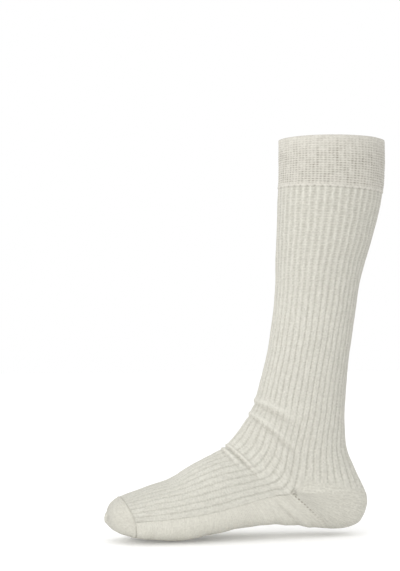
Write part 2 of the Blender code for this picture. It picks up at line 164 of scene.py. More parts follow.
def half_section(peak_x, peak_z, side_x, side_z, near, far, curve, crest):
    """Points from the near side over the peak to the far side, at even shares of the length."""
    turn = np.linspace(0, np.pi, CURVE_STEPS + 1)
    across = np.abs(np.cos(turn)) ** (2 / curve)
    rise = np.abs(np.sin(turn)) ** (2 / curve)
    y = np.where(turn < np.pi / 2, -near, far) * across + crest * rise
    points = np.stack((side_x + (peak_x - side_x) * rise, y, side_z + (peak_z - side_z) * rise), 1)
    steps = np.linalg.norm(np.diff(points, axis=0), axis=1)
    length = np.concatenate(((0,), np.cumsum(steps)))
    wanted = np.linspace(0, length[-1], SHARES_PER_HALF + 1)
    return np.stack([np.interp(wanted, length, points[:, k]) for k in range(3)], 1)


def front_grid(front):
    """The front half, rows by shares, with the ribs' turn at the ankle rounded."""
    rows = np.arange(TIP_ROW * LINES_PER_ROW + 1) / LINES_PER_ROW
    sharp = np.array([half_section(*read_rows(front, at)) for at in rows])
    shares = np.linspace(0, 1, SHARES_PER_HALF + 1)
    near_turn = np.exp(-((rows - CORNER_ROW - 0.5) / 2.5) ** 4)
    soft = np.zeros_like(sharp)
    taps = np.linspace(-1, 1, 7)
    for column, share in enumerate(shares):
        reach = TURN_REACH * np.sin(2 * np.pi * min(share, 1 - share)) * near_turn
        for tap in taps:
            for axis in range(3):
                soft[:, column, axis] += np.interp(rows + tap * reach, rows, sharp[:, column, axis])
    return soft / len(taps)


def back_grid(front, back):
    """The back half: leg, heel pocket and sole. The sides wait at the corner for the heel."""
    lines = []
    for line in range((TIP_ROW + HEEL_ROWS) * LINES_PER_ROW + 1):
        at = line / LINES_PER_ROW
        side_at = at if at < CORNER_ROW else max(CORNER_ROW, at - HEEL_ROWS)
        side_x, side_z, near, far = read_rows(front, side_at)[2:6]
        back_x, back_z, curve = read_rows(back, at)
        lines.append(half_section(back_x, back_z, side_x, side_z, near, far, curve, 0.0))
    return np.array(lines)


FRONT_ROWS, BACK_ROWS = section_rows()
FRONT = front_grid(FRONT_ROWS)
BACK = back_grid(FRONT_ROWS, BACK_ROWS)


def read_grid(grid, rows, shares):
    """Points of a grid at any rows and shares."""
    down = np.clip(rows * LINES_PER_ROW, 0, len(grid) - 1)
    over = np.clip(shares, 0, 1) * SHARES_PER_HALF
    first_down = np.minimum(down.astype(int), len(grid) - 2)
    first_over = np.minimum(over.astype(int), SHARES_PER_HALF - 1)
    points = 0
    for a, weight_down in enumerate(cubic_weights(down - first_down)):
        for b, weight_over in enumerate(cubic_weights(over - first_over)):
            line = np.clip(first_down + a - 1, 0, len(grid) - 1)
            column = np.clip(first_over + b - 1, 0, SHARES_PER_HALF)
            points = points + (weight_down * weight_over)[..., None] * grid[line, column]
    return points


def outward(grid, rows, shares, facing):
    """Unit normals of a grid, pointing out of the sock."""
    step = 0.02
    rows = np.clip(rows, step, (len(grid) - 1) / LINES_PER_ROW - step)
    shares = np.clip(shares, step, 1 - step)
    over = read_grid(grid, rows, shares + step / 2) - read_grid(grid, rows, shares - step / 2)
    down = read_grid(grid, rows + step / 2, shares) - read_grid(grid, rows - step / 2, shares)
    normal = facing * np.cross(over, down)
    return normal / np.linalg.norm(normal, axis=-1, keepdims=True)


def even_sides(normal, beside, shares):
    """Near the side lines the two halves share one direction."""
    to_side = np.minimum(shares, 1 - shares)
    part = np.clip(1 - to_side / 0.04, 0, 1)[..., None] / 2
    mixed = normal * (1 - part) + beside * part
    return mixed / np.linalg.norm(mixed, axis=-1, keepdims=True)


def over_front(rows, shares, height):
    """Points of the front half, a height above its form."""
    back_rows = np.where(rows >= CORNER_ROW, rows + HEEL_ROWS, rows)
    beside = outward(BACK, back_rows, np.round(shares), -1)
    normal = even_sides(outward(FRONT, rows, shares, 1), beside, shares)
    return read_grid(FRONT, rows, shares) + normal * height[..., None]


def over_back(rows, shares, height):
    """Points of the back half, a height above its form."""
    front_rows = np.where(rows > CORNER_ROW, np.maximum(rows - HEEL_ROWS, CORNER_ROW), rows)
    beside = outward(FRONT, front_rows, np.round(shares), 1)
    normal = even_sides(outward(BACK, rows, shares, -1), beside, shares)
    return read_grid(BACK, rows, shares) + normal * height[..., None]


def unevenness(points, size, seed):
    """Soft lumps between -1 and 1 over a form, from crossed waves of about one size."""
    chance = np.random.default_rng(seed)
    total = 0
    for wave in range(7):
        way = chance.normal(size=3)
        way *= 2 * pi / (size * chance.uniform(0.7, 1.6) * np.linalg.norm(way))
        total = total + np.sin(points @ way + chance.uniform(0, 2 * pi))
    return total / 4


WELD = 0.00003             # vertices closer than this are one
COURSE = 0.00125           # height of one course of stitches
courses_down = np.concatenate(((0,), np.cumsum(np.linalg.norm(
    np.diff(0.5 * FRONT[:, 0] + 0.5 * FRONT[:, SHARES_PER_HALF // 2], axis=0), axis=1)))) / COURSE
COURSE_ROWS = np.arange(len(FRONT)) / LINES_PER_ROW


def count_courses(rows):
    """Courses knitted from the mouth down to a row."""
    return np.interp(rows, COURSE_ROWS, courses_down)


def add_half(mesh, points, wales, courses, shade, painted_shading, facing):
    """A grid laid over points. Its corners keep wales and courses, its vertices two layers of painted shade
    and light.
    """
    lines, columns = points.shape[0] - 1, points.shape[1] - 1
    made = bmesh.ops.create_grid(mesh, x_segments=columns, y_segments=lines, size=0.5)["verts"]
    net = mesh.loops.layers.uv["knit"]
    furrow = mesh.verts.layers.float["furrow"]
    fold = mesh.verts.layers.float["painted_shading"]
    place = {}
    for vert in made:
        column = round((vert.co.x + 0.5) * columns)
        line = round((0.5 - vert.co.y) * lines)
        place[vert] = (wales[line, column], courses[line, column])
        vert.co = points[line, column]
        vert[furrow] = shade[line, column]
        vert[fold] = painted_shading[line, column]
    faces = {face for vert in made for face in vert.link_faces}
    for face in faces:
        for loop in face.loops:
            loop[net].uv = place[loop.vert]
    if facing < 0:
        bmesh.ops.reverse_faces(mesh, faces=list(faces))


def new_net():
    """An empty mesh with the knit's map and its two layers of painted shade and light."""
    mesh = bmesh.new()
    mesh.loops.layers.uv.new("knit")
    mesh.verts.layers.float.new("furrow")
    mesh.verts.layers.float.new("painted_shading")
    return mesh


def finish_panel(mesh, name, material, wall):
    """Welds the halves, gives the knit its thickness inwards and makes the piece."""
    bmesh.ops.remove_doubles(mesh, verts=mesh.verts, dist=WELD)
    data = bpy.data.meshes.new(name)
    mesh.to_mesh(data)
    mesh.free()
    data.shade_smooth()
    data.materials.append(material)
    piece = bpy.data.objects.new(name, data)
    bpy.context.scene.collection.objects.link(piece)
    if wall:
        thick = piece.modifiers.new("wall", "SOLIDIFY")
        thick.thickness = wall
        thick.offset = -1.0
        walled = piece.evaluated_get(bpy.context.evaluated_depsgraph_get())
        piece.data = bpy.data.meshes.new_from_object(walled)
        piece.modifiers.clear()
    piece.data.set_sharp_from_angle(angle=radians(75))
    return piece


def wire(tree, node_kind, inputs, **settings):
    """A shader node with its inputs given by number or name, each a value or a socket."""
    node = tree.nodes.new(node_kind)
    for key, value in settings.items():
        setattr(node, key, value)
    for key, value in inputs.items():
        if isinstance(value, bpy.types.NodeSocket):
            tree.links.new(value, node.inputs[key])
        else:
            node.inputs[key].default_value = value
    return node


def sum_up(tree, operation, first, second=0.0, third=0.0):
    """One Math node."""
    return wire(tree, "ShaderNodeMath", {0: first, 1: second, 2: third}, operation=operation).outputs[0]


def new_group(name, inputs, outputs):
    """An empty node group with named sockets, and its two end nodes."""
    group = bpy.data.node_groups.new(name, "ShaderNodeTree")
    for label, kind in inputs:
        group.interface.new_socket(label, in_out="INPUT", socket_type="NodeSocket" + kind)
    for label, kind in outputs:
        group.interface.new_socket(label, in_out="OUTPUT", socket_type="NodeSocket" + kind)
    return group, group.nodes.new("NodeGroupInput").outputs, group.nodes.new("NodeGroupOutput").inputs


def make_stitch_group():
    """Rows of V-shaped knit stitches: their height, and a painted shade in the gaps between the yarns."""
    group, given, wanted = new_group(
        "knit_stitch",
        (("Wales and courses", "Vector"), ("Waver", "Float"), ("Course ridges", "Float")),
        (("Height", "Float"), ("Gap", "Float")))
    net = wire(group, "ShaderNodeSeparateXYZ", {0: given["Wales and courses"]}).outputs
    waver = wire(group, "ShaderNodeTexNoise", {"Vector": given["Wales and courses"], "Scale": 0.31,
                                               "Detail": 2.0}).outputs[0]
    shift = sum_up(group, "MULTIPLY", sum_up(group, "SUBTRACT", waver, 0.5), given["Waver"])
    wale = sum_up(group, "FRACT", sum_up(group, "ADD", net[0], shift))
    from_middle = sum_up(group, "ABSOLUTE", sum_up(group, "SUBTRACT", wale, 0.5))
    lean = sum_up(group, "MULTIPLY", from_middle, 1.1)
    course = sum_up(group, "ADD", sum_up(group, "ADD", net[1], lean), shift)
    loop = sum_up(group, "SINE", sum_up(group, "MULTIPLY", course, 2 * pi))
    arm = sum_up(group, "SINE", sum_up(group, "MULTIPLY", from_middle, 2 * pi))
    body = sum_up(group, "MULTIPLY_ADD", loop, 0.28, arm)
    plain = sum_up(group, "SINE", sum_up(group, "MULTIPLY", sum_up(group, "ADD", net[1], shift), 2 * pi))
    height = sum_up(group, "MULTIPLY_ADD", plain, given["Course ridges"], body)
    group.links.new(height, wanted["Height"])
    gap = sum_up(group, "SUBTRACT", 0.55, sum_up(group, "MULTIPLY", height, 0.6))
    group.links.new(wire(group, "ShaderNodeClamp", {0: gap}).outputs[0], wanted["Gap"])
    return group


def make_yarn_group():
    """Colour of spun yarn: slubs and soft mottle, with painted shade in the gaps, furrows and creases and
    painted highlights on ridges.
    """
    group, given, wanted = new_group(
        "spun_yarn",
        (("Yarn", "Color"), ("Shadow", "Color"), ("Gap", "Float"), ("Furrow", "Float"),
         ("Painted shading", "Float"), ("Mottle", "Float"), ("Slub", "Float"), ("Slub form", "Vector"),
         ("Wales and courses", "Vector")),
        (("Color", "Color"), ("Roughness", "Float"), ("Fibre", "Float")))
    place = wire(group, "ShaderNodeTexCoord", {}).outputs["Object"]
    slub_net = wire(group, "ShaderNodeVectorMath", {0: given["Wales and courses"], 1: given["Slub form"]},
                    operation="MULTIPLY").outputs[0]
    slub = wire(group, "ShaderNodeTexNoise", {"Vector": slub_net, "Scale": 1.0, "Detail": 2.0}).outputs[0]
    patch = wire(group, "ShaderNodeTexNoise", {"Vector": place, "Scale": 150.0, "Detail": 3.0}).outputs[0]
    fibre = wire(group, "ShaderNodeTexNoise", {"Vector": place, "Scale": 2600.0, "Detail": 2.0}).outputs[0]
    cell = wire(group, "ShaderNodeVectorMath", {0: given["Wales and courses"]}, operation="FLOOR").outputs[0]
    speck = wire(group, "ShaderNodeTexWhiteNoise", {"Vector": cell}, noise_dimensions="2D").outputs[0]
    lumps = sum_up(group, "MULTIPLY", sum_up(group, "SUBTRACT", 0.5, slub), given["Slub"])
    lumps = sum_up(group, "MULTIPLY_ADD", sum_up(group, "SUBTRACT", 0.5, patch), 0.14, lumps)
    lumps = sum_up(group, "MULTIPLY_ADD", sum_up(group, "SUBTRACT", 0.5, speck), 0.30, lumps)
    dark = sum_up(group, "MULTIPLY_ADD", lumps, given["Mottle"], 0.18)
    # Painted shade in the gaps between the yarns.
    dark = sum_up(group, "MULTIPLY_ADD", given["Gap"], 0.16, dark)
    # Painted shade in the rib furrows and the cuff's pits, broken up by the slubs.
    broken = sum_up(group, "MULTIPLY", given["Furrow"], sum_up(group, "ADD", slub, 0.5))
    # Adds the painted shade and painted highlights of folds, wrinkles, seams and dents.
    dark = sum_up(group, "ADD", sum_up(group, "ADD", dark, broken), given["Painted shading"])
    dark = wire(group, "ShaderNodeClamp", {0: dark}).outputs[0]
    colour = wire(group, "ShaderNodeMix", {0: dark, 6: given["Yarn"], 7: given["Shadow"]}, data_type="RGBA")
    group.links.new(colour.outputs[2], wanted["Color"])
    group.links.new(sum_up(group, "MULTIPLY_ADD", slub, 0.10, 0.86), wanted["Roughness"])
    group.links.new(fibre, wanted["Fibre"])
    return group


KNIT_STITCH = make_stitch_group()
SPUN_YARN = make_yarn_group()


def knit_material(name, yarn, shadow, relief, mottle, slub, waver, ridges, painted_furrow_shade, dots):
    """Knitted cloth. slub is the streaks' strength and their changes a wale and a course,
    dots the pitch of the darker stitches of painted shade in the furrows, in courses."""
    material = bpy.data.materials.new(name)
    material.use_nodes = True
    tree = material.node_tree
    shader = tree.nodes["Principled BSDF"]
    net = wire(tree, "ShaderNodeUVMap", {}, uv_map="knit").outputs[0]
    furrow = wire(tree, "ShaderNodeAttribute", {}, attribute_name="furrow").outputs["Fac"]
    stitch = wire(tree, "ShaderNodeGroup", {}, node_tree=KNIT_STITCH)
    tree.links.new(net, stitch.inputs["Wales and courses"])
    stitch.inputs["Waver"].default_value = waver
    stitch.inputs["Course ridges"].default_value = ridges
    course = wire(tree, "ShaderNodeSeparateXYZ", {0: net}).outputs[1]
    beat = sum_up(tree, "SINE", sum_up(tree, "MULTIPLY", course, 2 * pi / dots))
    # The furrow layer beats along the furrows into darker stitches: a painted shade in the colour and a dent
    # in the bump.
    hole = sum_up(tree, "MULTIPLY", furrow, sum_up(tree, "MULTIPLY_ADD", beat, 0.22, 0.78))
    painted_shading = wire(tree, "ShaderNodeAttribute", {}, attribute_name="painted_shading").outputs["Fac"]
    cloth = wire(tree, "ShaderNodeGroup", {}, node_tree=SPUN_YARN)
    cloth.inputs["Yarn"].default_value = (*yarn, 1.0)
    cloth.inputs["Shadow"].default_value = (*shadow, 1.0)
    cloth.inputs["Mottle"].default_value = mottle
    cloth.inputs["Slub"].default_value = slub[0]
    cloth.inputs["Slub form"].default_value = (slub[1], slub[2], 1.0)
    tree.links.new(stitch.outputs["Gap"], cloth.inputs["Gap"])
    # Strength of the furrows' painted shade.
    tree.links.new(sum_up(tree, "MULTIPLY", hole, painted_furrow_shade), cloth.inputs["Furrow"])
    tree.links.new(sum_up(tree, "MULTIPLY", painted_shading, 0.6), cloth.inputs["Painted shading"])
    tree.links.new(net, cloth.inputs["Wales and courses"])
    tree.links.new(cloth.outputs["Color"], shader.inputs["Base Color"])
    tree.links.new(cloth.outputs["Roughness"], shader.inputs["Roughness"])
    height = sum_up(tree, "MULTIPLY_ADD", cloth.outputs["Fibre"], 0.35, stitch.outputs["Height"])
    height = sum_up(tree, "SUBTRACT", height, sum_up(tree, "MULTIPLY", hole, 1.5))
    bump = wire(tree, "ShaderNodeBump", {"Height": height, "Distance": relief, "Strength": 1.0})
    tree.links.new(bump.outputs[0], shader.inputs["Normal"])
    shader.inputs["Sheen Weight"].default_value = 0.12
    shader.inputs["Sheen Roughness"].default_value = 0.5
    shader.inputs["Specular IOR Level"].default_value = 0.2
    return material


CUFF_WALL = 0.0026
CUFF_STEP = 0.0003
SEAM_GAP = 0.00001         # the knit runs on from one panel to the next
ROW_LENGTH = 0.0258        # knit between two sections of the leg
WAFFLES_OVER_FRONT = 42
WAFFLE_ROWS = 21
WAFFLE_TOP_ROW = 0.02
WAFFLE_FULL_ROW = 0.75     # the waffle grows up to here, below the smoother turned edge
WAFFLE_DEPTH = 0.0004
OUTER_LINES = 86
INNER_LINES = 18
TURN_LINES = 7
COLUMNS_PER_WAFFLE = 5
LINKING_ROW = 1.93


def waffle_height(rows, shares):
    """Ridges round the cuff with a pit in every furrow stitch, and the linking course below; with painted
    shade in the pits, between the ridges and in the linking holes, and a painted highlight along the linking
    course.
    """
    course = (rows - WAFFLE_TOP_ROW) / (LINKING_ROW - WAFFLE_TOP_ROW) * WAFFLE_ROWS
    wale = shares * WAFFLES_OVER_FRONT
    grown = np.clip(rows / WAFFLE_FULL_ROW, 0, 1)
    inside = (0.25 + 0.75 * grown) * np.clip(course, 0, 1) * np.clip(WAFFLE_ROWS - course, 0, 1)
    ridge = 0.5 + 0.5 * np.cos(2 * pi * course)
    pit = np.exp(-((course % 1 - 0.5) / 0.27) ** 2 - ((wale % 1 - 0.5) / 0.33) ** 2)
    height = WAFFLE_DEPTH * inside * (0.45 * ridge - 0.75 * pit)
    link = np.exp(-((rows - LINKING_ROW) / 0.035) ** 2)
    rib = (shares * RIBS_OVER_FRONT + 0.5) % 1 - 0.5
    hole = np.exp(-((rows - LINKING_ROW - 0.045) / 0.03) ** 2 - (rib / 0.13) ** 2)
    # Painted shade in the pits and between the ridges.
    shade = inside * (0.92 * pit + 0.10 * (1 - ridge))
    tuck = -0.0007 * np.clip((rows - LINKING_ROW - 0.02) / 0.05, 0, 1)
    # Painted shade in the linking holes, painted highlight along the linking course.
    return height + 0.0004 * link - 0.0006 * hole + tuck, shade, 0.9 * hole - 0.06 * link


cuff_net = new_net()
outer_rows = np.linspace(CUFF_ROW - SEAM_GAP / 2 / ROW_LENGTH, CUFF_WALL / 2 / ROW_LENGTH, OUTER_LINES)
inner_rows = np.linspace(CUFF_WALL / 2 / ROW_LENGTH, CUFF_ROW - SEAM_GAP / 2 / ROW_LENGTH, INNER_LINES)
turn = np.linspace(0, pi, TURN_LINES + 2)[1:-1]
turn_rows = CUFF_WALL / 2 / ROW_LENGTH * (1 - np.sin(turn))
cuff_rows = np.concatenate((outer_rows, turn_rows, inner_rows))
cuff_rise = np.concatenate((np.zeros(OUTER_LINES), CUFF_WALL / 2 * (np.cos(turn) - 1),
                            np.full(INNER_LINES, -CUFF_WALL)))
cuff_knit = np.concatenate((outer_rows, -np.linspace(0.01, 0.12, TURN_LINES + INNER_LINES)))
on_outside = np.concatenate((np.ones(OUTER_LINES), np.zeros(TURN_LINES + INNER_LINES)))
cuff_shares = np.linspace(0, 1, WAFFLES_OVER_FRONT * COLUMNS_PER_WAFFLE + 1)
rows, shares = np.meshgrid(cuff_rows, cuff_shares, indexing="ij")
knitted = np.meshgrid(cuff_knit, cuff_shares, indexing="ij")[0]
relief, shade, painted_shading = waffle_height(rows, shares)
outside = on_outside[:, None]
for over, facing in ((over_front, 1), (over_back, -1)):
    rise = cuff_rise[:, None] + CUFF_STEP + relief * outside
    points = over(rows, shares, rise)
    sway = unevenness(points, 0.030, 3) * 0.0005 + unevenness(points, 0.009, 4) * 0.00015
    points = over(rows, shares, rise + sway * np.clip((CUFF_ROW - rows) / 0.4, 0, 1))
    # Random strength of the painted shade in the waffle's pits.
    pit_shade_unevenness = np.clip(0.85 + 0.45 * unevenness(points, 0.008, 5), 0.3, 1.5)
    add_half(cuff_net, points, facing * shares * 2 * WAFFLES_OVER_FRONT, count_courses(knitted),
             shade * outside * pit_shade_unevenness, painted_shading * outside, -facing)
bmesh.ops.remove_doubles(cuff_net, verts=cuff_net.verts, dist=WELD)
open_edges = [edge for edge in cuff_net.edges if edge.is_boundary]
bmesh.ops.bridge_loops(cuff_net, edges=open_edges)
bmesh.ops.recalc_face_normals(cuff_net, faces=cuff_net.faces)
welt_knit = knit_material("welt_knit", (0.645, 0.626, 0.566), (0.26, 0.24, 0.200), 0.00016,
                          0.60, (0.5, 0.8, 0.3), 0.25, 0.25, 0.95, 1.0e6)
cuff = finish_panel(cuff_net, "cuff_welt", welt_knit, 0.0)
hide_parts("cuff")
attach(cuff, "root")

# Leg
# Wide rib, 42 round the leg, each of two knit columns and a purl furrow, in ecru cotton yarn.
# The front ribs run on over the instep to the toe seam. The knit bunches at the ankle.
RIB_WALL = 0.0019
RIB_DEPTH = 0.0008
PER_RIB = 8
WALES_PER_RIB = 4
FOLDS = (
    # row_at_front row_at_side fades_from height width
    (11.00, 11.10, 0.00, 0.0017, 0.17),
    (11.24, 11.46, 0.02, -0.0016, 0.13),
    (11.90, 12.10, 0.00, 0.0017, 0.15),
    (12.10, 12.34, -0.05, -0.0016, 0.12),
    (14.85, 14.88, 0.28, 0.0021, 0.14),
    (15.06, 15.08, 0.20, -0.0021, 0.11),
    (15.42, 15.46, 0.40, 0.0015, 0.13),
    (15.62, 15.66, 0.36, -0.0017, 0.10),
)
FURROW_ROWS = (2.0, 4.0, 7.0, 14.0, 17.0, 21.0)
FURROW_SHARES = (0.50, 0.60, 1.00, 0.95, 0.95, 0.75)
FURROW_WIDTHS = (0.30, 0.28, 0.14, 0.13, 0.13, 0.14)
SQUEEZED_FROM = 12.7
HEEL_TOP_RISE = 0.60


def toward(shares):
    """0 on the side lines and 1 in the middle of a half."""
    return 1 - np.abs(2 * shares - 1)


def fold_height(rows, shares):
    """Height of the ankle's folds over the plain form of the front."""
    toward_front = toward(shares)
    height = np.zeros_like(toward_front)
    for front_row, side_row, fades_from, peak, width in FOLDS:
        middle = side_row + (front_row - side_row) * toward_front
        strength = np.clip((toward_front - fades_from) / (1 - fades_from) * 2, 0, 1)
        strength *= 1 - 0.45 * toward_front ** 3
        height += peak * strength * np.exp(-((rows - middle) / width) ** 2)
    return height


def heel_top(shares):
    """Row at which the ribs of the back end: they stop higher beside the corner."""
    toward_back = toward(shares)
    start = np.clip(toward_back / 0.16, 0, 1)
    return CORNER_ROW - HEEL_TOP_RISE * (1 - toward_back) * start * (2 - start) / 0.84


def half_length(grid):
    """Length over a half, line by line, from side to side."""
    return np.linalg.norm(np.diff(grid, axis=1), axis=2).sum(axis=1)


front_span = half_length(FRONT)[:CORNER_ROW * LINES_PER_ROW + 1]
back_span = half_length(BACK)[:CORNER_ROW * LINES_PER_ROW + 1]
drift = RIBS_OVER_FRONT * (front_span / (front_span + back_span) - 0.5)
drift *= np.clip((CORNER_ROW - COURSE_ROWS[:len(drift)]) / 1.5, 0, 1)


def rib_number(rows, shares, facing):
    """Ribs counted from the near side line, so that they lie evenly round the whole leg."""
    extra = np.interp(rows, COURSE_ROWS[:len(drift)], drift)
    return facing * (shares * (RIBS_OVER_FRONT + facing * 2 * extra)) - extra


def rib_profile(rows, ribs):
    """Furrows between the ribs, and a painted shade that is 1 on their bottom; on the upper leg the painted
    shade also darkens all but a narrow crest of each rib.
    """
    from_furrow = (ribs + 0.5) % 1 - 0.5
    broad = 1 - np.exp(-((np.abs(from_furrow) - 0.5) / 0.17) ** 2)
    width = np.interp(rows, FURROW_ROWS, FURROW_WIDTHS)
    depth = np.interp(rows, FURROW_ROWS, FURROW_SHARES)
    furrow = np.exp(-(from_furrow / width) ** 2)
    split = 0.12 * np.exp(-((np.abs(from_furrow) - 0.5) / 0.10) ** 2)
    stretched = np.clip((1 - depth) / 0.6, 0, 1) * (rows < 10)
    return -RIB_DEPTH * depth * (furrow + split), furrow * depth * 0.9 + 0.80 * stretched * broad


def spaced(*bands):
    """Row numbers in bands of first, last and count."""
    return np.concatenate([np.linspace(first, last, count, endpoint=False) for first, last, count in bands])


def ribbed(over, rows, shares, facing, folds, fade):
    """Points of a ribbed half, with soft unevenness and ribs that waver a little."""
    flat = np.zeros(rows.shape)
    plain = over(rows, shares, flat)
    inner = np.clip(np.minimum(shares, 1 - shares) / 0.05, 0, 1)
    ends = np.clip((rows - CUFF_ROW) / 0.5, 0, 1)
    waver = (0.06 * unevenness(plain, 0.024, 11) + 0.03 * unevenness(plain, 0.011, 14)) * inner * ends
    ribs = rib_number(rows, shares, facing)
    relief, shade = rib_profile(rows, ribs + waver)
    lumps = 0.00040 * unevenness(plain, 0.034, 12) + 0.00012 * unevenness(plain, 0.010, 13)
    return over(rows, shares, relief * fade + folds + lumps * ends), shade * fade, ribs


leg_net = new_net()
edge = SEAM_GAP / 2 / ROW_LENGTH
tube = spaced((CUFF_ROW + edge, 10, 42), (10, CORNER_ROW, 56))
tongue = spaced((CORNER_ROW, 15.5, 22), (15.5, TOE_ROW - edge, 32))
columns = np.linspace(0, 1, RIBS_OVER_FRONT * PER_RIB + 1)
rows, shares = np.meshgrid(np.append(np.concatenate((tube, tongue)), TOE_ROW - edge), columns, indexing="ij")
folds = fold_height(rows, shares)
on_fold = np.clip(1 - np.abs(folds) / 0.002, 0.25, 1)
on_tongue = np.clip((rows - CORNER_ROW) / 0.1, 0, 1)
on_fold *= 1 - 0.6 * on_tongue * np.exp(-(np.minimum(shares, 1 - shares) / 0.012) ** 2)
points, shade, ribs = ribbed(over_front, rows, shares, 1, folds, on_fold)
# Painted shade in the folds' furrows, painted highlights on their ridges, and painted light over the whole
# instep.
painted_shading = np.where(folds < 0, folds * -260, folds * -150) - 0.13 * on_tongue
add_half(leg_net, points, ribs * WALES_PER_RIB, count_courses(rows), shade, painted_shading, -1)
rows, shares = np.meshgrid(np.append(tube, CORNER_ROW), columns, indexing="ij")
lower = np.clip((rows - SQUEEZED_FROM) / (CORNER_ROW - SQUEEZED_FROM), 0, 1)
rows = np.minimum(rows, SQUEEZED_FROM) + lower * (heel_top(shares) - edge - SQUEEZED_FROM)
none = np.zeros(rows.shape)
fade = np.clip((heel_top(shares) - rows) / 0.25, 0, 1)
fade = np.where(toward(shares) > 0.03, fade, 1)
under, shade, ribs = ribbed(over_back, rows, shares, -1, none, fade)
for side in (0, -1):
    under[:, side] = points[:len(under), side]
add_half(leg_net, under, ribs * WALES_PER_RIB, count_courses(rows), shade, none, 1)
rib_knit = knit_material("rib_knit", (0.665, 0.652, 0.585), (0.30, 0.285, 0.240), 0.00022,
                         0.80, (0.50, 0.9, 0.15), 0.22, 0.12, 0.34, 2.1)
leg = finish_panel(leg_net, "leg_rib", rib_knit, RIB_WALL)
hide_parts("leg")
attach(leg, "root")

# Heel
# Plain knit pocket, turned in short rows between the two corners of the ankle.
# The rows fan out from small holes at the corners, and a gore line closes it underneath.
PLAIN_WALL = 0.0016
GORE_ROW = CORNER_ROW + HEEL_ROWS
CORNER_GAP = 0.0006
HOLE_DEPTH = 0.0005        # small holes at the corners and along the gore are dents
HEEL_LINES = 73
HEEL_COLUMNS = 249
HEEL_WALES = 100
HEEL_COURSES = 60


def plain_panel(over, rows, shares, relief, seed, share_of_lumps=1.0):
    """Points of a plain half with the soft lumps of cotton after wear."""
    plain = over(rows, shares, np.zeros(rows.shape))
    lumps = 0.0004 * unevenness(plain, 0.032, seed) + 0.00015 * unevenness(plain, 0.009, seed + 1)
    return over(rows, shares, relief + lumps * share_of_lumps)


heel_net = new_net()
drop, shares = np.meshgrid(np.linspace(0, 1, HEEL_LINES), np.linspace(0, 1, HEEL_COLUMNS), indexing="ij")
rows = heel_top(shares) + edge + drop * (GORE_ROW - heel_top(shares) - 2 * edge)
at_edge = np.exp(-(drop / 0.03) ** 2) + np.exp(-((1 - drop) / 0.03) ** 2)
toward_back = toward(shares)
corner_hole = 1.1 * np.exp(-((drop - 0.80) / 0.18) ** 2 - ((toward_back - 0.045) / 0.022) ** 2)
points = plain_panel(over_back, rows, shares, -0.00004 * at_edge - HOLE_DEPTH * corner_hole, 21)
middle = len(drop) // 2
for side, inward in ((0, 1), (-1, -2)):
    way = points[middle, inward] - points[middle, side]
    points[:, side] = points[middle, side] + way * CORNER_GAP / np.linalg.norm(way)
# The corner holes are dents, darkened with painted shade.
add_half(heel_net, points, -shares * HEEL_WALES, drop * HEEL_COURSES, np.zeros(rows.shape), corner_hole, 1)
heel_knit = knit_material("heel_knit", (0.622, 0.609, 0.543), (0.30, 0.285, 0.240), 0.00013,
                          0.90, (0.9, 0.12, 0.8), 0.25, 0.30, 0.60, 1.0e6)
heel = finish_panel(heel_net, "heel_pocket", heel_knit, PLAIN_WALL)
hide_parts("heel")
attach(heel, "root")

# Sole
# Plain knit on from the gore line, its edges running beside the instep's last ribs.
# It is stretched over the ball and wrinkles crosswise under the arch.
WRINKLES = (
    # row_at_middle row_at_side height width
    (14.75, 14.95, 0.0008, 0.14),
    (15.15, 15.25, -0.0007, 0.13),
    (15.60, 15.55, 0.0006, 0.15),
    (16.30, 16.10, 0.0004, 0.20),
    (20.15, 20.30, -0.0004, 0.12),
)
GORE_PINS = 38             # small holes along the gore line
COLUMNS_PER_PIN = 6
SOLE_LINES = 201
SOLE_WALES = 80
sole_net = new_net()
rows, shares = np.meshgrid(np.linspace(CORNER_ROW + edge, TOE_ROW - edge, SOLE_LINES),
                           np.linspace(0, 1, GORE_PINS * COLUMNS_PER_PIN + 1), indexing="ij")
toward_middle = toward(shares)
relief = np.zeros(rows.shape)
for middle_row, side_row, height, width in WRINKLES:
    line = side_row + (middle_row - side_row) * toward_middle
    relief += height * np.clip(toward_middle * 3, 0.25, 1) * np.exp(-((rows - line) / width) ** 2)
at_edge = np.exp(-((rows - CORNER_ROW) / 0.08) ** 2) + np.exp(-((TOE_ROW - rows) / 0.06) ** 2)
at_side = np.exp(-(np.minimum(shares, 1 - shares) / 0.008) ** 2)
relief -= 0.0001 * at_edge + 0.0003 * at_side
below_gore = rows - CORNER_ROW
each_pin = np.exp(-(((shares * GORE_PINS) % 1 - 0.5) / 0.22) ** 2)
each_pin *= np.clip(1.3 - 1.9 * toward_middle, 0.12, 1)
pins = each_pin * np.exp(-((below_gore - 0.055) / 0.055) ** 2)
under_pins = each_pin * np.exp(-((below_gore - 0.19) / 0.06) ** 2)
points = plain_panel(over_back, rows + HEEL_ROWS, shares, relief - HOLE_DEPTH * pins, 31)
lower_side = np.where(rows[:, :1] > CORNER_ROW + 0.01, SEAM_GAP / 2, CORNER_GAP / 2)
for side, inward in ((0, 1), (-1, -2)):
    way = points[:, inward] - points[:, side]
    points[:, side] += way * lower_side / np.linalg.norm(way, axis=1, keepdims=True)
# Painted shade in the gore's pin dents and along the side grooves; a lighter line just below the pins, and
# darker next to the gore line.
painted_shading = 0.12 * at_side + 2.2 * pins - 0.4 * under_pins + 0.20 * np.exp(-(below_gore / 0.8) ** 2)
